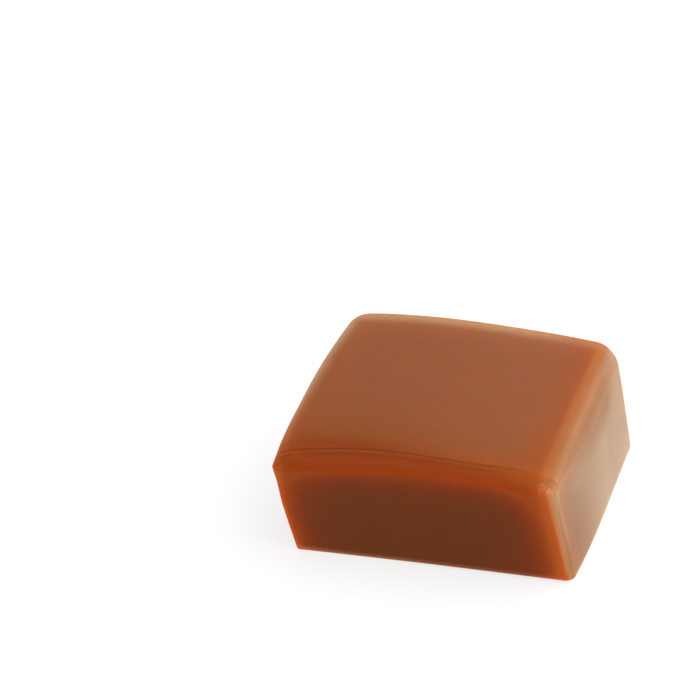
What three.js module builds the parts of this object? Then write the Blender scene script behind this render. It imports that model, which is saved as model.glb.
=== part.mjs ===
// A soft chewy caramel, about an inch square. It was cut from a slab as a plain block, and then
// relaxed: its top slid to the left and sank at the front left corner, the cut front and back faces
// lean out towards the top, the left side bellies out, and every edge went round. Behind the front
// edge a crease runs across the top, where the face rolls over towards the cut.
//
// Millimetres. X runs along the front edge to the right, Y from the front face to the back, Z up.
// The origin is on the table, under the middle of the caramel's outer box.
import * as THREE from "three";
import { mergeVertices } from "three/addons/utils/BufferGeometryUtils.js";

// The block as it was cut
const WIDTH = 25;
const DEPTH = 26;
const HEIGHT = 10;

// How far each cut face strays from upright, measured at the top
const LEAN_LEFT = 1.85; // the whole top slid this far to the left
const OVERHANG = { left: 0.3, front: 1.35, back: 1.2 };
const BELLY_LEFT = 1; // the left side swells out half way along
const HOLLOW_BACK = 0.3; // the back face pulls in half way along
const FOOT_RIGHT = 0.2; // the foot of the right side spreads, most near the front

// The top
const CROWN = 1.1; // height of the arch from the left side to the right
const CROWN_PEAK = -0.1; // its highest line, as a share of half the width, left of the middle
const SAG = 1.2; // how far the front left corner has sunk
const WAVE = 0.05; // unevenness along the back edge

// The front band, between the crease and the front edge
const BAND_DEPTH = 1.95;
const BAND_SWAY = 0.35; // the crease wanders this far
const BAND_FALL = 0.35; // the band slopes down this far to the front edge

// Radii of the rounded edges: top edges seen from above, their height, upright edges, bottom edge
const TOP_RADIUS = { left: 2.6, right: 1.8, front: 1, back: 1.1 };
const TOP_ROUND_HEIGHT = 1.85;
const FRONT_ROUND_HEIGHT = 0.9;
const UPRIGHT_RADIUS = { frontLeft: 0.15, frontRight: 0.95, back: 0.8 };
const BOTTOM_RADIUS = 0.4;

// A small lip was pinched out at the front left corner of the top
const LIP = 0.15;
const LIP_START = 0.8; // where it begins, as a share of half the width and half the depth
const LIP_HEIGHT = 0.75; // and of the height

// Number of cells along each side, and how much closer together they lie near the edges
const CELLS = { width: 24, depth: 24, height: 14 };
const CROWDING = 0.6;

const { clamp, lerp, smoothstep } = THREE.MathUtils;
const HALF = new THREE.Vector3(WIDTH / 2, DEPTH / 2, HEIGHT / 2);

// Moves a grid line at share t, from -1 to 1, towards the nearer end.
function crowd(t) {
  return (1 - CROWDING) * t + CROWDING * Math.sin((t * Math.PI) / 2);
}

// Radius of the upright edge near a place on the cube: its own value at each corner.
function uprightRadius(unit) {
  const front = Math.max(-unit.y, 0);
  const left = Math.max(-unit.x, 0) * front;
  const right = Math.max(unit.x, 0) * front;
  const { frontLeft, frontRight, back } = UPRIGHT_RADIUS;
  return back + (frontLeft - back) * left + (frontRight - back) * right;
}

// The rounding's radii along X, Y and Z near a place on the cube.
function roundingAt(unit) {
  const rise = smoothstep(unit.z, 0, 1);
  const upright = uprightRadius(unit);
  const topHeight = lerp(TOP_ROUND_HEIGHT, FRONT_ROUND_HEIGHT, smoothstep(-unit.y, 0, 1));
  return new THREE.Vector3(
    lerp(upright, unit.x < 0 ? TOP_RADIUS.left : TOP_RADIUS.right, rise),
    lerp(upright, unit.y < 0 ? TOP_RADIUS.front : TOP_RADIUS.back, rise),
    unit.z > 0 ? topHeight : BOTTOM_RADIUS,
  );
}

// Puts a point of the cube from -1 to 1 on the block with rounded edges, its base at z = 0.
function roundedBlock(unit) {
  const radius = roundingAt(unit);
  const plain = unit.clone().multiply(HALF);
  const room = HALF.clone().sub(radius);
  const inner = plain.clone().clamp(room.clone().negate(), room);
  const outwards = plain.sub(inner).divide(radius);
  if (outwards.lengthSq() > 0) {
    outwards.normalize();
  }
  const point = inner.add(outwards.multiply(radius));
  point.z += HALF.z;
  return point;
}

// Depth of the band in front of the crease at share s of half the width.
function bandDepth(s) {
  return BAND_DEPTH - BAND_SWAY * Math.sin(Math.PI * s) * (1 - s * s);
}

// Lets the rounded block relax into the caramel's form.
function slump(point) {
  const s = point.x / HALF.x;
  const t = point.y / HALF.y;
  const k = point.z / HEIGHT;
  const alongSide = 1 - t * t;
  const alongBack = 1 - s * s;

  let x = point.x - LEAN_LEFT * k;
  if (s < 0) {
    x += (OVERHANG.left * s + BELLY_LEFT * s * alongSide) * k;
  } else {
    x += FOOT_RIGHT * s * alongSide * (1 - t) * (1 - k);
  }
  const atLip = smoothstep(-s, LIP_START, 1) * smoothstep(-t, LIP_START, 1);
  x -= LIP * atLip * smoothstep(k, LIP_HEIGHT, 0.95);

  let y = point.y;
  y += t < 0 ? OVERHANG.front * t * k : (OVERHANG.back - HOLLOW_BACK * alongBack) * t * k;

  const fromPeak = (s - CROWN_PEAK) / (1 + Math.abs(CROWN_PEAK));
  const intoBand = clamp(1 - (point.y + HALF.y) / bandDepth(s), 0, 1);
  const top =
    CROWN * (1 - fromPeak * fromPeak) -
    SAG * ((1 - s) / 2) * ((1 - t) / 2) -
    BAND_FALL * intoBand +
    WAVE * Math.cos(1.5 * Math.PI * (s + 0.35)) * Math.max(t, 0);
  return new THREE.Vector3(x, y, point.z + top * k);
}

function caramelGeometry() {
  const cube = new THREE.BoxGeometry(2, 2, 2, CELLS.width, CELLS.depth, CELLS.height);
  cube.deleteAttribute("normal");
  cube.deleteAttribute("uv");
  const geometry = mergeVertices(cube, 1e-4);
  const position = geometry.attributes.position;
  const unit = new THREE.Vector3();
  for (let i = 0; i < position.count; i += 1) {
    unit.fromBufferAttribute(position, i);
    unit.set(crowd(unit.x), crowd(unit.y), crowd(unit.z));
    const place = slump(roundedBlock(unit));
    position.setXYZ(i, place.x, place.y, place.z);
  }
  geometry.computeBoundingBox();
  const middle = geometry.boundingBox.getCenter(new THREE.Vector3());
  geometry.translate(-middle.x, -middle.y, 0);
  geometry.computeVertexNormals();
  return geometry;
}

function caramel() {
  const material = new THREE.MeshStandardMaterial({
    name: "caramel",
    color: new THREE.Color("#99582f"),
    roughness: 0.38,
    metalness: 0,
  });
  const mesh = new THREE.Mesh(caramelGeometry(), material);
  mesh.name = "caramel";
  return mesh;
}

const candy = new THREE.Group();
candy.add(caramel());

export default candy;
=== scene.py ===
"""A soft chewy caramel on a pale table: a rounded, leaning block with a crease and glowing edges."""

import logging
import math
from collections.abc import Callable
from dataclasses import dataclass, field
from enum import Enum

import bmesh
import bpy
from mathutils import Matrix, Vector, noise


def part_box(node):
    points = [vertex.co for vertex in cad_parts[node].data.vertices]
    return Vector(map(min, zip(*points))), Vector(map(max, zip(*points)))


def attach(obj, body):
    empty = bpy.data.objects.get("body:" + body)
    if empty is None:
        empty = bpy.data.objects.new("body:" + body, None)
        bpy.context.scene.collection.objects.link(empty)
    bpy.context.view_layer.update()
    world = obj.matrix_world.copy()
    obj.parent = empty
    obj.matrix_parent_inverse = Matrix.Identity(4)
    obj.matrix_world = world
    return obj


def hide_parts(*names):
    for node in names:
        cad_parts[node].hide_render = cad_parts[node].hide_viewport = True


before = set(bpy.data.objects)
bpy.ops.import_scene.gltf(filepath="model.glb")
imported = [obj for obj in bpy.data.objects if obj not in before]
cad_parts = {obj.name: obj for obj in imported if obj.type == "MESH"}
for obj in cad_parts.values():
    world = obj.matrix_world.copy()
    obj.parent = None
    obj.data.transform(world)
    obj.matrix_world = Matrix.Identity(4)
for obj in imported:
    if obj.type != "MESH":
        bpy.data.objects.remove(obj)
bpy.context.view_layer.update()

log = logging.getLogger("caramel")

MM = 0.001
NODE = "caramel"
UP = Vector((0, 0, 1))

Triple = tuple[float, float, float]
Stops = tuple[tuple[float, str], ...]


@dataclass(frozen=True)
class Ease:
    """A share that rises smoothly, from 0 at low to 1 at high."""

    low: float
    high: float

    def __call__(self, value: float) -> float:
        """Returns the share at a value, from 0 to 1."""
        share = min(max((value - self.low) / (self.high - self.low), 0.0), 1.0)
        return share * share * (3 - 2 * share)


# From the middle of the caramel to one of its sides.
OUTWARDS = Ease(0, 1)


def between(first: float, second: float, share: float) -> float:
    """Returns the value at a share of the way from first to second."""
    return first + (second - first) * share


def bell(distance: float, width: float) -> float:
    """Returns a smooth bump, 1 at no distance and near 0 past twice the width."""
    return math.exp(-((distance / width) ** 2))


def fading(distance: float, reach: float) -> float:
    """Returns 1 at no distance, and about a third of that with each reach further off."""
    return math.exp(-distance / reach)


def direction(azimuth: float, elevation: float) -> Vector:
    """Finds the way to a place round the caramel.

    Args:
        azimuth: Degrees round from the front towards the right side.
        elevation: Degrees above the table.

    Returns:
        A unit vector from the caramel to that place.
    """
    turn = math.radians(azimuth)
    rise = math.radians(elevation)
    flat = Vector((math.sin(turn), -math.cos(turn), 0))
    return flat * math.cos(rise) + UP * math.sin(rise)


def tint(code: str) -> tuple[float, float, float, float]:
    """Turns a colour as it looks on a screen into the light that a shader works in.

    Args:
        code: Six hexadecimal digits, red first.

    Returns:
        Linear red, green, blue and an alpha of 1.
    """
    channels = [int(code[i : i + 2], 16) / 255 for i in (0, 2, 4)]
    red, green, blue = (c / 12.92 if c <= 0.04045 else ((c + 0.055) / 1.055) ** 2.4 for c in channels)
    return red, green, blue, 1.0


class Blend(Enum):
    """How one colour goes over another."""

    COVER = "MIX"
    DARKEN = "MULTIPLY"


class Quality(Enum):
    """What the caramel's mesh tells its finish at each vertex."""

    # Painted glow at the edges, where light comes through.
    RIM = "rim"
    # Painted glow: the deeper red by the crease.
    PAINTED_RED_GLOW = "painted_red_glow"
    # The crease's line, which is darkened as painted shade.
    CREASE = "crease"
    SCUFF = "scuff"
    # Painted shade: the darker front and back faces.
    CUT = "front_back_shade"
    # The right side, whose colours are painted to fit its light.
    SIDE = "side"
    # Painted highlights along the edges and at the foot.
    PAINTED_HIGHLIGHT = "painted_highlight"
    POLISH = "polish"
    DUST = "dust"


class Signal:
    """A value in a material, with which sums can be written as Python expressions."""

    def __init__(self, bench: "Bench", socket: bpy.types.NodeSocket) -> None:
        """Wraps an output socket of the bench's material."""
        self.bench = bench
        self.socket = socket

    def sum_with(self, operation: str, other: "Signal | float", first: bool = True) -> "Signal":
        """Adds a Math node.

        Args:
            operation: The Math node's operation.
            other: The other value.
            first: Whether this value comes before the other.

        Returns:
            The node's result.
        """
        values = [self, other] if first else [other, self]
        node = self.bench.node("ShaderNodeMath", {"operation": operation}, dict(enumerate(values)))
        return Signal(self.bench, node.outputs[0])

    def __add__(self, other: "Signal | float") -> "Signal":
        """Returns the sum."""
        return self.sum_with("ADD", other)

    __radd__ = __add__

    def __sub__(self, other: "Signal | float") -> "Signal":
        """Returns this less the other."""
        return self.sum_with("SUBTRACT", other)

    def __rsub__(self, other: float) -> "Signal":
        """Returns the other less this."""
        return self.sum_with("SUBTRACT", other, first=False)

    def __mul__(self, other: "Signal | float") -> "Signal":
        """Returns the product."""
        return self.sum_with("MULTIPLY", other)

    __rmul__ = __mul__

    def clamped(self) -> "Signal":
        """Returns this kept from 0 to 1."""
        return self.sum_with("MINIMUM", 1.0).sum_with("MAXIMUM", 0.0)

    def eased(self, low: float, high: float) -> "Signal":
        """Returns a smooth share, 0 at low and 1 at high."""
        settings = {"interpolation_type": "SMOOTHSTEP"}
        sockets = {"Value": self, "From Min": low, "From Max": high}
        return Signal(self.bench, self.bench.node("ShaderNodeMapRange", settings, sockets).outputs[0])


class Bench:
    """Where the nodes of a material or of the room are put together."""

    def __init__(self, owner: bpy.types.Material | bpy.types.World) -> None:
        """Clears the owner's nodes, for new ones."""
        owner.use_nodes = True
        self.tree = owner.node_tree
        self.tree.nodes.clear()

    def node(
        self, kind: str, settings: dict | None = None, sockets: dict | None = None
    ) -> bpy.types.Node:
        """Adds a node.

        Args:
            kind: The node's type.
            settings: Its properties, which are set first.
            sockets: Input name or number to a value, a socket or a signal.

        Returns:
            The new node.
        """
        made = self.tree.nodes.new(kind)
        for name, value in (settings or {}).items():
            setattr(made, name, value)
        for name, value in (sockets or {}).items():
            source = value.socket if isinstance(value, Signal) else value
            if isinstance(source, bpy.types.NodeSocket):
                self.tree.links.new(source, made.inputs[name])
            else:
                made.inputs[name].default_value = source
        return made

    def places(self, scale: Vector) -> bpy.types.NodeSocket:
        """Returns object coordinates, counted in millimetres and then scaled along each axis."""
        own = self.node("ShaderNodeTexCoord").outputs["Object"]
        mapped = self.node("ShaderNodeMapping", sockets={"Vector": own, "Scale": scale / MM})
        return mapped.outputs["Vector"]

    def grain(self, size: Triple, detail: float = 2.0) -> Signal:
        """Adds smooth noise.

        Args:
            size: The noise's grain in millimetres along each axis.
            detail: How many finer layers it has.

        Returns:
            The noise, around 0.5.
        """
        scale = Vector([1 / s for s in size])
        sockets = {"Vector": self.places(scale), "Scale": 1.0, "Detail": detail}
        return Signal(self, self.node("ShaderNodeTexNoise", {}, sockets).outputs["Fac"])

    def quality(self, which: Quality) -> Signal:
        """Returns a value that the mesh holds at its vertices."""
        settings = {"attribute_name": which.value}
        return Signal(self, self.node("ShaderNodeAttribute", settings).outputs["Fac"])

    def mixed(
        self,
        way: Blend,
        share: Signal | float,
        under: tuple | bpy.types.NodeSocket,
        over: tuple | bpy.types.NodeSocket,
    ) -> bpy.types.NodeSocket:
        """Puts one colour over another.

        Args:
            way: How they go together.
            share: How much of the upper colour shows.
            under: The lower colour.
            over: The upper colour.

        Returns:
            The mixed colour.
        """
        settings = {"data_type": "RGBA", "blend_type": way.value}
        return self.node("ShaderNodeMix", settings, {0: share, 6: under, 7: over}).outputs[2]

    def graded(self, value: Signal, stops: Stops) -> bpy.types.NodeSocket:
        """Looks a value up in a row of colours.

        Args:
            value: The value.
            stops: Values and the colours there, in order.

        Returns:
            The colour.
        """
        last = stops[-1][0]
        ramp = self.node("ShaderNodeValToRGB", sockets={"Fac": value * (1 / last)})
        elements = ramp.color_ramp.elements
        elements[0].color = tint(stops[0][1])
        elements[1].color = tint(stops[-1][1])
        for place, code in stops[1:-1]:
            elements.new(place / last).color = tint(code)
        return ramp.outputs["Color"]

    def bumped(self, height: Signal, strength: float, depth: float) -> bpy.types.NodeSocket:
        """Returns a normal that follows fine relief of that depth."""
        sockets = {"Height": height, "Strength": strength, "Distance": depth}
        return self.node("ShaderNodeBump", {}, sockets).outputs["Normal"]

    def facing(self, way: bpy.types.NodeSocket, towards: Vector) -> Signal:
        """Returns the cosine of the angle between a direction and a fixed one."""
        node = self.node("ShaderNodeVectorMath", {"operation": "DOT_PRODUCT"}, {0: way, 1: towards})
        return Signal(self, node.outputs["Value"])


@dataclass(frozen=True)
class CaramelFinish:
    """Satin, slightly translucent caramel: dark in the middle of its faces, with a painted orange glow
    at its edges where light comes through.

    The top, the front and back faces and the right side each have a row of colours, from the middle to
    the painted glow at the edge. The front and back are painted darker than the top as painted shade,
    and the right side's row is painted to fit how that side is lit.
    Three grains mottle them, with sizes in millimetres: clouds, an upright flow, and freckles.
    """

    # The top's colours, from its middle to a painted orange glow at its edges, where light comes
    # through.
    top: Stops = (
        (0.0, "7f3e09"),
        (0.3, "8e420a"),
        (0.5, "9a4a0e"),
        (0.75, "a9551a"),
        (1.0, "b4622a"),
    )
    # Painted shade: the front and back faces' colours, darker than the top's, with the painted glow at
    # their edges.
    front_back_shade: Stops = (
        (0.0, "6b3209"),
        (0.3, "7e3306"),
        (0.5, "8f3805"),
        (0.75, "a3450c"),
        (1.0, "b85914"),
    )
    # Painted light: the right side's colours, fitted to how that side is lit, with the painted glow at
    # its edges.
    side: Stops = (
        (0.0, "6b3616"),
        (0.2, "743a13"),
        (0.6, "7e4418"),
        (1.0, "9a5824"),
    )
    # Painted glow: a tint that deepens the red by the crease, where light comes through the thin band.
    painted_red_glow: str = "f3dae4"
    # Painted highlight: a pale colour along the rounded edges and at the foot, standing in for their
    # reflections.
    painted_highlight: str = "b8986a"
    painted_highlight_strength: float = 0.8
    # A darker tone, for the mottling and for a painted shade in the crease.
    shade: str = "5e2c0c"
    crease_shade: float = 0.4

    cloud_size: Triple = (6.0, 6.0, 6.0)
    freckle_size: Triple = (0.45, 0.45, 0.45)
    flow_size: Triple = (1.1, 1.1, 9.0)
    flow_detail: float = 3.0
    light_clouds: float = 0.12
    shade_clouds: float = 0.5
    shade_flow: float = 0.3
    shade_freckles: float = 0.3

    scuff: str = "d9a878"
    scuff_size: Triple = (0.14, 0.5, 0.3)
    scuff_from: float = 0.6
    scuff_full: float = 0.68
    scuff_strength: float = 0.45

    roughness: float = 0.36
    rough_clouds: float = 0.1
    rough_flow: float = 0.1
    rough_freckles: float = 0.06
    relief_depth: float = 0.01 * MM
    relief_strength: float = 0.5
    relief_flow: float = 0.6
    relief_freckles: float = 0.4
    relief_scuffs: float = 0.5

    scatter: float = 1.8 * MM
    scatter_tint: Triple = (1.0, 0.36, 0.18)
    refraction: float = 1.3
    gloss: float = 0.02
    coat_refraction: float = 1.5
    coat_roughness: float = 0.33
    sheen: float = 0.06
    sheen_roughness: float = 0.4
    dust: float = 1.0
    dust_roughness: float = 0.5
    dust_tint: tuple[float, float, float, float] = (0.92, 0.88, 0.62, 1.0)

    def material(self) -> bpy.types.Material:
        """Returns the finish as a material: clean caramel, and the same under fine dust."""
        material = bpy.data.materials.new("soft_caramel")
        bench = Bench(material)
        clouds = bench.grain(self.cloud_size)
        freckles = bench.grain(self.freckle_size)
        flow = bench.grain(self.flow_size, self.flow_detail)
        scuffs = bench.grain(self.scuff_size).eased(self.scuff_from, self.scuff_full)
        flecks = bench.quality(Quality.SCUFF) * scuffs

        uneven = (clouds - 0.5) * self.rough_clouds + (flow - 0.5) * self.rough_flow
        uneven = uneven + (freckles - 0.5) * self.rough_freckles
        relief = freckles * self.relief_freckles + flow * self.relief_flow + flecks * self.relief_scuffs
        clean = {
            "Base Color": self.colour(bench, clouds, flow, freckles, flecks),
            "Roughness": uneven + self.roughness,
            "IOR": self.refraction,
            "Specular IOR Level": self.gloss,
            "Sheen Weight": self.sheen,
            "Sheen Roughness": self.sheen_roughness,
            "Coat Weight": bench.quality(Quality.POLISH),
            "Coat IOR": self.coat_refraction,
            "Coat Roughness": self.coat_roughness,
            "Subsurface Weight": 1.0,
            "Subsurface Radius": self.scatter_tint,
            "Subsurface Scale": self.scatter,
            "Normal": bench.bumped(relief, self.relief_strength, self.relief_depth),
        }
        dusty = clean | {
            "Sheen Weight": self.dust,
            "Sheen Roughness": self.dust_roughness,
            "Sheen Tint": self.dust_tint,
        }
        settings = {"subsurface_method": "RANDOM_WALK"}
        under, over = (bench.node("ShaderNodeBsdfPrincipled", settings, s) for s in (clean, dusty))
        sockets = {0: bench.quality(Quality.DUST), 1: under.outputs[0], 2: over.outputs[0]}
        mixed = bench.node("ShaderNodeMixShader", sockets=sockets)
        bench.node("ShaderNodeOutputMaterial", sockets={"Surface": mixed.outputs[0]})
        return material

    def colour(
        self, bench: Bench, clouds: Signal, flow: Signal, freckles: Signal, flecks: Signal
    ) -> bpy.types.NodeSocket:
        """Lays the caramel's colours over each other: its own colours with a painted glow at the edges
        and by the crease, then painted highlights, mottling, a painted shade in the crease and scuffs.

        Args:
            bench: Where the material's nodes are put together.
            clouds: The coarsest grain.
            flow: The upright grain.
            freckles: The finest grain.
            flecks: Where scuffs show.

        Returns:
            The colour.
        """
        # Painted glow: the colours grow lighter and more orange towards the edges, standing in for light
        # that comes through the caramel.
        edge_light = bench.quality(Quality.RIM) + (clouds - 0.5) * self.light_clouds
        made = bench.graded(edge_light, self.top)
        # Painted glow: the band by the crease is tinted a deeper red.
        made = bench.mixed(Blend.DARKEN, bench.quality(Quality.PAINTED_RED_GLOW), made, tint(self.painted_red_glow))
        # The front and back get darker colours as painted shade, and the right side colours fitted to
        # its light.
        for face, stops in ((Quality.CUT, self.front_back_shade), (Quality.SIDE, self.side)):
            made = bench.mixed(Blend.COVER, bench.quality(face), made, bench.graded(edge_light, stops))
        cloudy = (clouds - 0.5) * self.shade_clouds + (flow - 0.5) * self.shade_flow
        cloudy = cloudy + (freckles - 0.5) * self.shade_freckles
        covers = (
            # Painted highlights along the edges and at the foot.
            (bench.quality(Quality.PAINTED_HIGHLIGHT) * self.painted_highlight_strength, self.painted_highlight),
            (cloudy.clamped(), self.shade),
            # Painted shade along the crease.
            (bench.quality(Quality.CREASE) * self.crease_shade, self.shade),
            (flecks * self.scuff_strength, self.scuff),
        )
        for share, code in covers:
            made = bench.mixed(Blend.COVER, share, made, tint(code))
        return made


@dataclass(frozen=True)
class TableFinish:
    """Pale matt paper on a softly lit table top."""

    colour: str = "8a8a89"
    roughness: float = 0.9
    gloss: float = 0.1
    glow_colour: str = "ffffff"
    glow: float = 0.75

    def material(self) -> bpy.types.Material:
        """Returns the finish as a material."""
        material = bpy.data.materials.new("pale_paper")
        bench = Bench(material)
        sockets = {
            "Base Color": tint(self.colour),
            "Roughness": self.roughness,
            "Specular IOR Level": self.gloss,
            "Emission Color": tint(self.glow_colour),
            "Emission Strength": self.glow,
        }
        shader = bench.node("ShaderNodeBsdfPrincipled", {}, sockets)
        bench.node("ShaderNodeOutputMaterial", sockets={"Surface": shader.outputs[0]})
        return material


@dataclass(frozen=True)
class CaramelForm:
    """The caramel's form: a sliced block that relaxed. X runs along its front, and Y to its back."""

    width: float = 25 * MM
    depth: float = 26 * MM
    height: float = 10 * MM

    lean_left: float = 1.85 * MM
    overhang_left: float = 0.3 * MM
    overhang_front: float = 1.35 * MM
    overhang_back: float = 1.2 * MM
    belly_left: float = 1 * MM
    hollow_back: float = 0.3 * MM
    foot_right: float = 0.2 * MM

    crown: float = 1.1 * MM
    crown_peak: float = -0.1
    sag: float = 1.2 * MM
    wave: float = 0.05 * MM
    wave_turns: float = 1.5
    wave_shift: float = 0.35

    band_depth: float = 1.95 * MM
    band_sway: float = 0.35 * MM
    band_fall: float = 0.35 * MM

    round_left: float = 2.6 * MM
    round_right: float = 1.8 * MM
    round_front: float = 1 * MM
    round_back: float = 1.1 * MM
    round_height: float = 1.85 * MM
    round_height_front: float = 0.9 * MM
    upright_front_left: float = 0.15 * MM
    upright_front_right: float = 0.95 * MM
    upright_back: float = 0.8 * MM
    round_bottom: float = 0.4 * MM

    lip: float = 0.15 * MM
    lip_end: Ease = Ease(0.8, 1)
    lip_rise: Ease = Ease(0.75, 0.95)

    @property
    def half(self) -> Vector:
        """Half the block's width, depth and height."""
        return Vector((self.width, self.depth, self.height)) / 2

    def rounding_at(self, unit: Vector) -> Vector:
        """Finds how round the block is near a place.

        Args:
            unit: A point on the cube from -1 to 1.

        Returns:
            The rounding's radii along X, Y and Z.
        """
        front = max(-unit.y, 0.0)
        upright = self.upright_back
        upright += (self.upright_front_left - self.upright_back) * max(-unit.x, 0.0) * front
        upright += (self.upright_front_right - self.upright_back) * max(unit.x, 0.0) * front
        rise = OUTWARDS(unit.z)
        top_height = between(self.round_height, self.round_height_front, OUTWARDS(-unit.y))
        return Vector(
            (
                between(upright, self.round_left if unit.x < 0 else self.round_right, rise),
                between(upright, self.round_front if unit.y < 0 else self.round_back, rise),
                top_height if unit.z > 0 else self.round_bottom,
            )
        )

    def rounded(self, unit: Vector) -> Vector:
        """Puts a point of the cube on the block with rounded edges.

        Args:
            unit: A point on the cube from -1 to 1.

        Returns:
            Its place, with the base at a height of 0.
        """
        radius = self.rounding_at(unit)
        plain = [u * h for u, h in zip(unit, self.half)]
        room = self.half - radius
        inner = Vector([min(max(p, -r), r) for p, r in zip(plain, room)])
        outwards = Vector([(p - i) / r for p, i, r in zip(plain, inner, radius)])
        if outwards.length > 0:
            outwards.normalize()
        point = inner + Vector([o * r for o, r in zip(outwards, radius)])
        point.z += self.half.z
        return point

    def band_at(self, s: float) -> float:
        """Returns the depth of the band in front of the crease at share s of half the width."""
        return self.band_depth - self.band_sway * math.sin(math.pi * s) * (1 - s * s)

    def slumped(self, point: Vector) -> Vector:
        """Lets the rounded block relax.

        Args:
            point: A point on the rounded block.

        Returns:
            Its place on the caramel.
        """
        s = point.x / self.half.x
        t = point.y / self.half.y
        k = point.z / self.height
        along_side = 1 - t * t
        along_back = 1 - s * s

        x = point.x - self.lean_left * k
        if s < 0:
            x += (self.overhang_left + self.belly_left * along_side) * s * k
        else:
            x += self.foot_right * s * along_side * (1 - t) * (1 - k)
        at_lip = self.lip_end(-s) * self.lip_end(-t)
        x -= self.lip * at_lip * self.lip_rise(k)

        back = self.overhang_back - self.hollow_back * along_back
        y = point.y + (self.overhang_front if t < 0 else back) * t * k

        from_peak = (s - self.crown_peak) / (1 + abs(self.crown_peak))
        into_band = min(max(1 - (point.y + self.half.y) / self.band_at(s), 0.0), 1.0)
        top = self.crown * (1 - from_peak * from_peak)
        top -= self.sag * ((1 - s) / 2) * ((1 - t) / 2)
        top -= self.band_fall * into_band
        top += self.wave * math.cos(self.wave_turns * math.pi * (s + self.wave_shift)) * max(t, 0.0)
        return Vector((x, y, point.z + top * k))


@dataclass(frozen=True)
class GridLines:
    """Where the mesh's lines run between two sides: closer near the ends, and at one place between."""

    count: int
    ends: float = 5.0
    end_width: float = 0.16
    crowd_at: float = 0.0
    crowd: float = 0.0
    crowd_width: float = 0.05
    steps_each: int = 40

    def density(self, t: float) -> float:
        """Returns how closely the lines lie at share t, from -1 to 1."""
        made = 1 + self.ends * fading(1 - abs(t), self.end_width)
        return made + self.crowd * bell(t - self.crowd_at, self.crowd_width)

    def places(self) -> list[float]:
        """Returns where each line runs, in order from -1 to 1."""
        steps = self.count * self.steps_each
        sums = [0.0]
        for i in range(steps):
            sums.append(sums[-1] + self.density(-1 + 2 * (i + 0.5) / steps))
        made = []
        i = 0
        for line in range(self.count + 1):
            wanted = sums[-1] * line / self.count
            while i < steps - 1 and sums[i + 1] < wanted:
                i += 1
            share = (wanted - sums[i]) / (sums[i + 1] - sums[i])
            made.append(-1 + 2 * (i + min(share, 1.0)) / steps)
        made[0] = -1.0
        made[-1] = 1.0
        return made


@dataclass(frozen=True)
class Crease:
    """The fold across the top, a little behind its front edge, which fades out to the right.

    Places on the caramel are given here and below as points on the cube from -1 to 1, called unit.
    """

    form: CaramelForm
    depth: float = 0.05 * MM
    width: float = 0.16 * MM
    ridge: float = 0.03 * MM
    ridge_before: float = 2.4
    ridge_width: float = 1.6
    top: Ease = Ease(0.9, 0.99)
    right: Ease = Ease(0.5, 0.98)

    def behind(self, unit: Vector) -> float:
        """Returns how far behind the crease a place on the top lies."""
        return (unit.y + 1) * self.form.half.y - self.form.band_at(unit.x)

    def strength(self, unit: Vector) -> float:
        """Returns how strong the crease is at this place across the top."""
        return self.top(unit.z) * (1 - self.right(unit.x))

    def line(self, unit: Vector) -> float:
        """Returns how near a place is to the crease's bottom: 1 in it where it is strong, 0 off it."""
        return bell(self.behind(unit), self.width) * self.strength(unit)

    def height(self, unit: Vector) -> float:
        """Finds how far the crease lifts a place: a groove, with a lower ridge in front of it.

        Args:
            unit: The place.

        Returns:
            The height along the surface's normal.
        """
        behind = self.behind(unit)
        groove = -self.depth * bell(behind, self.width)
        ridge = self.ridge * bell(behind + self.ridge_before * self.width, self.ridge_width * self.width)
        return (groove + ridge) * self.strength(unit)


@dataclass(frozen=True)
class RimLight:
    """How the edges glow, where light comes through the caramel."""

    form: CaramelForm
    crease: Crease
    reach: float = 1.5 * MM
    reach_right: float = 2.1 * MM
    front_right_gain: float = 0.6
    front: Ease = Ease(0.9, 1)
    foot: float = 0.12

    # The most light that an edge lets through: along the front and back, and near the left and right.
    most: float = 0.72
    most_side: float = 0.95
    most_side_back: float = 0.48
    back: Ease = Ease(0.4, 1)
    near_side: Ease = Ease(0.4, 1)

    crease_light: float = 0.08
    top: Ease = Ease(0.8, 1)

    # What the front right edge and the top have less.
    corner_loss: float = 0.3
    corner_loss_high: float = 0.35
    high: Ease = Ease(0.6, 0.9)
    facing_right: Ease = Ease(0.6, 1)
    corner: Ease = Ease(0.8, 1)
    top_loss: float = 0.35
    facing_up: Ease = Ease(0.5, 0.95)

    def at(self, unit: Vector, normal: Vector) -> float:
        """Finds how much light a place lets through.

        Args:
            unit: The place.
            normal: The way that it faces.

        Returns:
            About 0 in the middle of a face, and up to about 1 at the edges.
        """
        half = self.form.half
        right = OUTWARDS(unit.x)
        across = fading((1 - abs(unit.x)) * half.x, between(self.reach, self.reach_right, right))
        across *= 1 + self.front_right_gain * right * self.front(-unit.y)
        along = fading((1 - abs(unit.y)) * half.y, self.reach)
        upright = fading((1 - unit.z) * half.z, self.reach)
        upright += self.foot * fading((1 + unit.z) * half.z, self.reach)
        nearness = [across, along, upright]
        most_side = between(self.most_side, self.most_side_back, self.back(unit.y))
        most = between(self.most, most_side, self.near_side(across))
        lit = min(sum(nearness) - max(nearness), most)
        lit += self.crease_light * fading(abs(self.crease.behind(unit)), self.reach) * self.top(unit.z)
        loss = self.corner_loss + self.corner_loss_high * self.high(unit.z)
        lit *= 1 - loss * self.facing_right(normal.x) * self.corner(-unit.y)
        return lit * (1 - self.top_loss * self.facing_up(normal.z))


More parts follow.
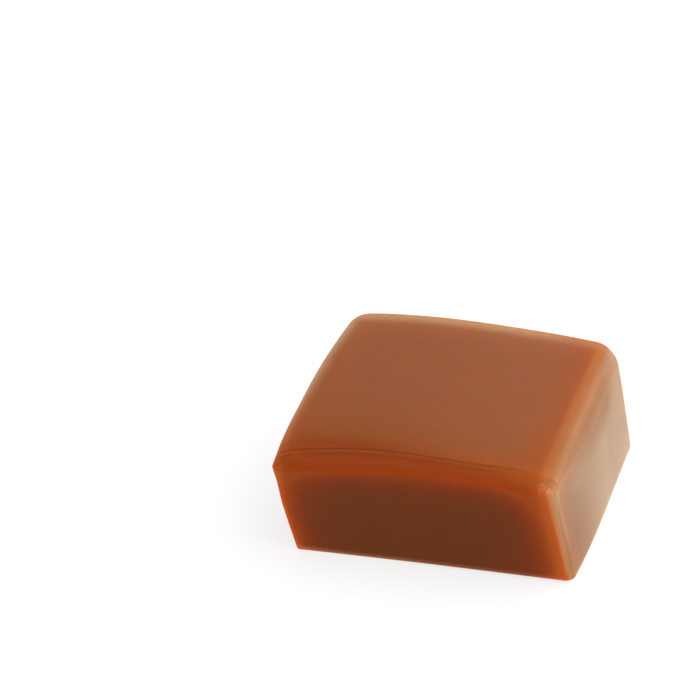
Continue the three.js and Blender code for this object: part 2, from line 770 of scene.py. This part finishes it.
@dataclass(frozen=True)
class PaintedRedGlow:
    """Painted glow: where the top is painted a deeper red, as light comes through it: in front of the
    crease, and past it at the left.
    """

    crease: Crease
    reach: float = 2.1 * MM
    reach_right: float = 0.6
    leftwards: Ease = Ease(0, 0.6)
    fade: Ease = Ease(0.4, 1.4)
    left: Ease = Ease(-0.5, 0.4)
    past_crease: Ease = Ease(-0.1 * MM, 0.2 * MM)
    right: Ease = Ease(0.3, 1.05)
    top: Ease = Ease(0.8, 1)

    def at(self, unit: Vector) -> float:
        """Finds how much painted red glow a place has.

        Args:
            unit: The place.

        Returns:
            A share from 0 to 1.
        """
        behind = self.crease.behind(unit)
        reach = self.reach * between(self.reach_right, 1, self.leftwards(-unit.x))
        past = (1 - self.fade(behind / reach)) * self.left(-unit.x)
        in_front = (1 - self.past_crease(behind)) * (1 - self.right(unit.x))
        return max(past, in_front) * self.top(unit.z)


@dataclass(frozen=True)
class PaintedEdgeHighlight:
    """Painted highlights: where the caramel is painted paler, standing in for reflections along the
    edges round its top, in front and at its foot.
    """

    form: CaramelForm
    top: Ease = Ease(0.3, 0.75)

    back: float = 0.55
    back_fade: Ease = Ease(1.12 * MM, 2.8 * MM)
    back_trail: float = 0.2
    trail_from: float = 1 * MM
    trail_reach: float = 1.4 * MM
    back_least: float = 0.15
    back_rise: Ease = Ease(0.6 * MM, 1.4 * MM)
    back_right_loss: float = 0.5
    back_right: Ease = Ease(0.3, 0.8)

    left: float = 0.55
    facing_left: Ease = Ease(0.18, 0.62)
    towards_back: Ease = Ease(-0.8, 0.5)
    patch: float = 0.12
    patch_at: tuple[float, float] = (-0.87, 0.75)
    patch_size: tuple[float, float] = (0.1, 0.2)

    right: float = 0.14
    right_begins: Ease = Ease(0.1, 0.4)
    right_ends: Ease = Ease(0.6, 0.9)

    upright: float = 0.42
    upright_right: Ease = Ease(0.34, 0.6)
    upright_front: Ease = Ease(0.1, 0.4)
    upright_gain: float = 0.2
    upright_high: Ease = Ease(0.6, 0.95)
    upright_loss: float = 0.75
    upright_ends: Ease = Ease(0.8, 1)

    foot: float = 0.35
    foot_fade: Ease = Ease(-0.96, -0.84)
    foot_turn: Ease = Ease(-0.8, -0.3)

    def back_edge(self, unit: Vector) -> float:
        """Finds the painted highlight on the top's back edge.

        Args:
            unit: The place.

        Returns:
            A share from 0 to 1.
        """
        inwards = (1 - unit.y) * self.form.half.y
        painted_highlight = self.back * (1 - self.back_fade(inwards))
        painted_highlight += self.back_trail * fading(max(inwards - self.trail_from, 0.0), self.trail_reach)
        painted_highlight *= between(self.back_least, 1, self.back_rise(inwards))
        return painted_highlight * (1 - self.back_right_loss * self.back_right(unit.x))

    def left_edge(self, unit: Vector, normal: Vector) -> float:
        """Finds the painted highlight on the top's left edge, which has a paler patch near the back.

        Args:
            unit: The place.
            normal: The way that it faces.

        Returns:
            A share from 0 to 1.
        """
        x, y = (bell(u - p, s) for u, p, s in zip(unit.xy, self.patch_at, self.patch_size))
        return self.left * self.facing_left(-normal.x) * self.towards_back(unit.y) + self.patch * x * y

    def right_edge(self, normal: Vector) -> float:
        """Returns the painted highlight on the top's right edge."""
        return self.right * self.right_begins(normal.x) * (1 - self.right_ends(normal.x))

    def upright_edge(self, unit: Vector, normal: Vector) -> float:
        """Finds the painted highlight on the edge between the front and the right side.

        Args:
            unit: The place.
            normal: The way that it faces.

        Returns:
            A share from 0 to 1.
        """
        painted_highlight = self.upright * self.upright_right(normal.x) * self.upright_front(-normal.y)
        gain = self.upright_gain * self.upright_high(unit.z)
        return painted_highlight * (1 + gain - self.upright_loss * self.upright_ends(normal.x))

    def at(self, unit: Vector, normal: Vector) -> float:
        """Finds how much painted highlight a place has.

        Args:
            unit: The place.
            normal: The way that it faces.

        Returns:
            A share from 0 to 1.
        """
        on_top = max(self.back_edge(unit), self.left_edge(unit, normal), self.right_edge(normal))
        foot = self.foot * (1 - self.foot_fade(unit.z)) * self.foot_turn(normal.z)
        return max(self.top(normal.z) * on_top, self.upright_edge(unit, normal), foot)


@dataclass(frozen=True)
class RightSide:
    """The right side, whose colours are painted to fit how it is lit, as painted light, with a dusty
    veil that is palest low on its back half.
    """

    # Where the colour and the veil begin, by how far a place faces right.
    colour_turn: float = 0.52
    colour_fade: float = 0.2
    veil_turn: float = 0.42
    veil_turned: float = 0.8
    turn_back: float = 0.1
    turn_front: float = 0.2
    facing_front: Ease = Ease(0.2, 0.6)

    # How high the lower veil reaches, from the foot at -1 to the top at 1.
    height: float = 0.36
    height_front: float = 0.7
    front_from: float = 0.12
    dip: float = 0.1
    dip_at: float = 0.4
    dip_width: float = 0.25
    height_back: float = 0.15
    back_end: Ease = Ease(0.5, 0.9)
    height_fade: float = 0.3

    # How strong the lower veil is.
    low: float = 0.976
    low_gain: float = 0.33
    low_corner: float = 0.3
    corner_foot: Ease = Ease(0.5, 0.8)
    corner_back: Ease = Ease(0.3, 1)
    pale_far: float = 0.45
    far: Ease = Ease(-0.9, 0.2)
    pale_farther: float = 0.243
    farther: Ease = Ease(-0.1, 1)

    # The veil everywhere, at the back and front edges, and in patches: how far back, how high, how pale.
    least: float = 0.391
    back_edge: float = 0.36
    at_back: Ease = Ease(0.5, 0.95)
    front_edge: float = 0.36
    at_front: Ease = Ease(0.85, 0.97)
    front_high: Ease = Ease(-0.5, 0.3)
    patches: tuple[Triple, ...] = (
        (-0.45, 0.35, 0.099),
        (0.85, 0.75, 0.09),
        (0.8, -0.75, 0.072),
        (-0.75, -0.35, -0.054),
    )
    patch_length: float = 0.25
    patch_height: float = 0.2
    share_low: float = 0.83
    share_high: float = 1.13
    high: Ease = Ease(0.5, 0.95)

    # How much of the veil is dust, and how much gloss that takes away.
    dust_share: float = 0.95
    dust_most: float = 0.8
    dust_most_back: float = 0.52
    dust_back: Ease = Ease(-0.1, 0.7)
    dust_dulls: float = 0.857

    def coloured(self, unit: Vector, normal: Vector) -> float:
        """Finds how far a place has the side's painted colour, which begins further over its edge at the
        back.

        Args:
            unit: The place.
            normal: The way that it faces.

        Returns:
            A share from 0 to 1.
        """
        edge = self.colour_turn + self.turn_back * unit.y
        edge += self.turn_front * self.facing_front(-normal.y)
        return Ease(edge - self.colour_fade, edge + self.colour_fade)(normal.x)

    def veiled(self, unit: Vector, normal: Vector) -> float:
        """Returns how far the side's veil reaches over a place, from 0 to 1."""
        return Ease(self.veil_turn + self.turn_back * unit.y, self.veil_turned)(normal.x)

    def low_veil(self, unit: Vector) -> float:
        """Finds how far a place lies in the lower veil, whose upper edge rises to the front.

        Args:
            unit: The place.

        Returns:
            A strength from 0, above the veil, to 1.6 at the back of the foot.
        """
        top = self.height + self.height_front * min(unit.y - self.front_from, 0) ** 2
        top -= self.dip * bell(unit.y - self.dip_at, self.dip_width)
        top += self.height_back * self.back_end(unit.y)
        corner = self.low_corner * self.corner_foot(-unit.z) * self.corner_back(unit.y)
        strength = self.low - self.low_gain * unit.z + corner
        return (1 - Ease(top - self.height_fade, top + self.height_fade)(unit.z)) * strength

    def veil(self, unit: Vector) -> float:
        """Finds how much the right side pales when seen at a slant.

        Args:
            unit: The place.

        Returns:
            A strength from 0.3, near the front edge, to 1.25 at the back of the foot.
        """
        low = self.low_veil(unit)
        towards_back = self.pale_far * self.far(unit.y) + self.pale_farther * self.farther(unit.y)
        pale = self.least + low * towards_back
        pale += self.back_edge * self.at_back(unit.y) * (1 - min(low, 1))
        pale += self.front_edge * self.at_front(-unit.y) * self.front_high(unit.z)
        for y, z, strength in self.patches:
            patch = bell(unit.y - y, self.patch_length) * bell(unit.z - z, self.patch_height)
            pale += strength * patch
        return pale * between(self.share_low, self.share_high, self.high(unit.z))

    def dust(self, unit: Vector) -> float:
        """Returns how dusty the right side is: where its veil lies, but less at the back."""
        most = between(self.dust_most, self.dust_most_back, self.dust_back(unit.y))
        return min(self.dust_share * self.veil(unit), most)

    def polish(self, unit: Vector) -> float:
        """Returns how much gloss the right side keeps, where its dust doesn't dull it."""
        return self.veil(unit) - self.dust_dulls * self.dust(unit)


@dataclass(frozen=True)
class Shine:
    """How much thin, soft gloss each face has: on the top, none at the crease and more behind it."""

    crease: Crease
    right_side: RightSide
    dull_right: float = -0.9 * MM
    dull_left: float = 1.2 * MM
    leftwards: Ease = Ease(-0.5, 0.6)
    growth: float = 3.7 * MM
    top: float = 0.23
    rolled_loss: float = 0.7
    rolled: Ease = Ease(0.05, 0.4)
    right_loss: float = 0.35
    right: Ease = Ease(0.6, 0.85)
    back_loss: float = 0.8
    facing_back: Ease = Ease(0.05, 0.35)
    front: float = 0.2
    facing_front: Ease = Ease(0.1, 0.6)

    def at(self, unit: Vector, normal: Vector) -> float:
        """Finds how much a place shines.

        Args:
            unit: The place.
            normal: The way that it faces.

        Returns:
            A share from 0 to 1.
        """
        dull = between(self.dull_right, self.dull_left, self.leftwards(-unit.x))
        behind = max(self.crease.behind(unit) - dull, 0.0)
        top = self.top * (1 - fading(behind, self.growth))
        top *= 1 - self.rolled_loss * self.rolled(abs(normal.x))
        top *= 1 - self.right_loss * self.right(unit.x)
        top *= 1 - self.back_loss * self.facing_back(normal.y)
        ahead = between(top, self.front, self.facing_front(-normal.y))
        return between(ahead, self.right_side.polish(unit), self.right_side.veiled(unit, normal))


@dataclass
class Caramel:
    """The caramel as a fine mesh, with its relief and what its finish needs to know at each vertex."""

    form: CaramelForm = field(default_factory=CaramelForm)
    finish: CaramelFinish = field(default_factory=CaramelFinish)
    cells: int = 88
    crease_lines: float = 9.0

    unevenness: float = 0.03 * MM
    uneven_size: float = 5 * MM
    finer_size: float = 0.35
    finer_share: float = 0.3
    above_foot: Ease = Ease(-0.9, -0.5)

    # Painted shade: how far a place faces front or back, where those faces are painted darker.
    front_back_shade: Ease = Ease(0.5, 0.95)
    scuffs: Ease = Ease(0.6 * MM, 2 * MM)

    def __post_init__(self) -> None:
        """Makes what follows the form: the crease, and all that lies over the surface."""
        self.crease = Crease(self.form)
        self.rim_light = RimLight(self.form, self.crease)
        self.painted_red_glow = PaintedRedGlow(self.crease)
        self.edge_highlight = PaintedEdgeHighlight(self.form)
        self.right_side = RightSide()
        self.shine = Shine(self.crease, self.right_side)

    def relief(self, unit: Vector, point: Vector) -> float:
        """Finds how far a place stands out from the plain form.

        Args:
            unit: Its point on the cube from -1 to 1.
            point: Its place on the caramel.

        Returns:
            The height along the surface's normal.
        """
        swell = noise.noise(point / self.uneven_size) * (1 - self.finer_share)
        swell += noise.noise(point / (self.uneven_size * self.finer_size)) * self.finer_share
        return self.unevenness * swell * self.above_foot(unit.z) + self.crease.height(unit)

    def scuffing(self, unit: Vector) -> float:
        """Returns how scuffed a place is: only the front right corner of the top is."""
        corner = Vector((1, -1, 1)) - unit
        return 1 - self.scuffs(Vector([c * h for c, h in zip(corner, self.form.half)]).length)

    def qualities(self, unit: Vector, normal: Vector) -> dict[Quality, float]:
        """Finds what the finish needs to know at a place.

        Args:
            unit: Its point on the cube from -1 to 1.
            normal: The way that it faces.

        Returns:
            Each quality's value there.
        """
        return {
            Quality.RIM: self.rim_light.at(unit, normal),
            Quality.PAINTED_RED_GLOW: self.painted_red_glow.at(unit),
            Quality.CREASE: self.crease.line(unit),
            Quality.SCUFF: self.scuffing(unit),
            Quality.CUT: self.front_back_shade(abs(normal.y)),
            Quality.SIDE: self.right_side.coloured(unit, normal),
            Quality.PAINTED_HIGHLIGHT: self.edge_highlight.at(unit, normal),
            Quality.POLISH: self.shine.at(unit, normal),
            Quality.DUST: self.right_side.dust(unit) * self.right_side.veiled(unit, normal),
        }

    def shaped(self, bm: bmesh.types.BMesh) -> dict[bmesh.types.BMVert, Vector]:
        """Makes a cube of fine cells and gives it the caramel's plain form.

        Args:
            bm: An empty mesh, which gets the shape.

        Returns:
            Each vertex's point on the cube from -1 to 1.
        """
        bmesh.ops.create_cube(bm, size=2)
        bmesh.ops.subdivide_edges(bm, edges=bm.edges, cuts=self.cells - 1, use_grid_fill=True)
        crease_at = self.form.band_depth / self.form.half.y - 1
        plain = GridLines(self.cells).places()
        creased = GridLines(self.cells, crowd_at=crease_at, crowd=self.crease_lines).places()
        lines = (plain, creased, plain)
        units = {}
        for vert in bm.verts:
            unit = Vector([own[round((c + 1) / 2 * self.cells)] for own, c in zip(lines, vert.co)])
            units[vert] = unit
            vert.co = self.form.slumped(self.form.rounded(unit))
        bm.normal_update()
        return units

    def mesh(self) -> bpy.types.Mesh:
        """Returns the caramel's mesh, placed where its solid is."""
        bm = bmesh.new()
        layers = {quality: bm.verts.layers.float.new(quality.value) for quality in Quality}
        for vert, unit in self.shaped(bm).items():
            for quality, value in self.qualities(unit, vert.normal).items():
                vert[layers[quality]] = value
            vert.co += vert.normal * self.relief(unit, vert.co)
        bmesh.ops.translate(bm, verts=bm.verts, vec=self.offset(bm))
        for face in bm.faces:
            face.smooth = True
        made = bpy.data.meshes.new(NODE)
        bm.to_mesh(made)
        bm.free()
        return made

    def offset(self, bm: bmesh.types.BMesh) -> Vector:
        """Finds where the mesh has to go.

        Args:
            bm: The mesh.

        Returns:
            The move that brings its middle over the solid's, on the table.
        """
        low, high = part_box(NODE)
        middle = Vector([(min(c) + max(c)) / 2 for c in zip(*(v.co for v in bm.verts))])
        move = (low + high) / 2 - middle
        move.z = low.z - min(v.co.z for v in bm.verts)
        return move

    def build(self) -> bpy.types.Object:
        """Makes the caramel, which stands for its solid, and returns it."""
        piece = bpy.data.objects.new("caramel_block", self.mesh())
        bpy.context.scene.collection.objects.link(piece)
        piece.data.materials.append(self.finish.material())
        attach(piece, "root")
        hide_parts(NODE)
        return piece


@dataclass
class Table:
    """The pale table that the caramel lies on. It isn't part of the object."""

    radius: float = 1.5
    segments: int = 96
    finish: TableFinish = field(default_factory=TableFinish)

    def build(self) -> bpy.types.Object:
        """Makes the table's top and returns it."""
        bm = bmesh.new()
        bmesh.ops.create_circle(bm, cap_ends=True, segments=self.segments, radius=self.radius)
        mesh = bpy.data.meshes.new("table")
        bm.to_mesh(mesh)
        bm.free()
        table = bpy.data.objects.new("table", mesh)
        bpy.context.scene.collection.objects.link(table)
        mesh.materials.append(self.finish.material())
        return table


@dataclass(frozen=True)
class Window:
    """A soft round glow in the room, brightest in its middle. Its angles are in degrees."""

    azimuth: float
    elevation: float
    reach: float
    light: float

    def glow(self, bench: Bench, way: bpy.types.NodeSocket) -> Signal:
        """Finds its light.

        Args:
            bench: Where the room's nodes are put together.
            way: The direction that the light comes from.

        Returns:
            The light that comes from there.
        """
        cosine = bench.facing(way, direction(self.azimuth, self.elevation))
        return cosine.eased(math.cos(math.radians(self.reach)), 1.0) * self.light


@dataclass
class Studio:
    """The light: a dim room with wide soft windows, and a pale backdrop past the table."""

    windows: tuple[Window, ...] = (Window(114, 11, 120, 2.4), Window(262, 20, 75, 0.55))
    colour: str = "ffffff"
    room_light: float = 0.13
    backdrop: float = 0.95

    def build(self) -> None:
        """Makes the room, and sets how the picture shows colours."""
        world = bpy.data.worlds.new("room")
        bench = Bench(world)
        way = bench.node("ShaderNodeTexCoord").outputs["Generated"]
        light = sum((window.glow(bench, way) for window in self.windows), self.room_light)
        seen = Signal(bench, bench.node("ShaderNodeLightPath").outputs["Is Camera Ray"])
        strength = light * (1 - seen) + seen * self.backdrop
        sockets = {"Color": tint(self.colour), "Strength": strength}
        shader = bench.node("ShaderNodeBackground", {}, sockets)
        bench.node("ShaderNodeOutputWorld", sockets={"Surface": shader.outputs[0]})
        bpy.context.scene.world = world
        bpy.context.scene.view_settings.view_transform = "Standard"


@dataclass(frozen=True)
class Viewpoint:
    """Where the picture is taken from: a long lens, seen from a little to the right and above."""

    azimuth: float = 12.69
    elevation: float = 29.16
    distance: float = 480 * MM
    lens: float = 273.81
    sensor: float = 36
    nearest: float = 10 * MM
    farthest: float = 10
    base_middle: Vector = Vector((1.24, 0.15, 0)) * MM
    looks_past: Vector = Vector((-11.87, 3.62, 11.62)) * MM

    def build(self) -> bpy.types.Object:
        """Makes the camera, hands it to the scene and returns it."""
        data = bpy.data.cameras.new("camera")
        data.lens = self.lens
        data.sensor_width = self.sensor
        data.clip_start = self.nearest
        data.clip_end = self.farthest
        camera = bpy.data.objects.new("camera", data)
        camera.location = self.base_middle + direction(self.azimuth, self.elevation) * self.distance
        aim = self.base_middle + self.looks_past
        camera.rotation_euler = (aim - camera.location).to_track_quat("-Z", "Y").to_euler()
        bpy.context.scene.collection.objects.link(camera)
        bpy.context.scene.camera = camera
        return camera


def report(name: str, make: Callable[[], bpy.types.Object]) -> None:
    """Makes one thing of the scene and logs it.

    Args:
        name: What it is.
        make: What makes it.
    """
    made = make()
    faces = len(made.data.polygons) if made.type == "MESH" else 0
    log.info("%s: %s, %d faces", name, made.name, faces)


def main() -> None:
    """Builds the caramel, its table, its light and the camera."""
    logging.basicConfig(level=logging.INFO, format="%(name)s: %(message)s")
    report("view", Viewpoint().build)
    report("sweet", Caramel().build)
    report("table", Table().build)
    Studio().build()
    bpy.context.view_layer.update()


if __name__ == "__main__":
    main()
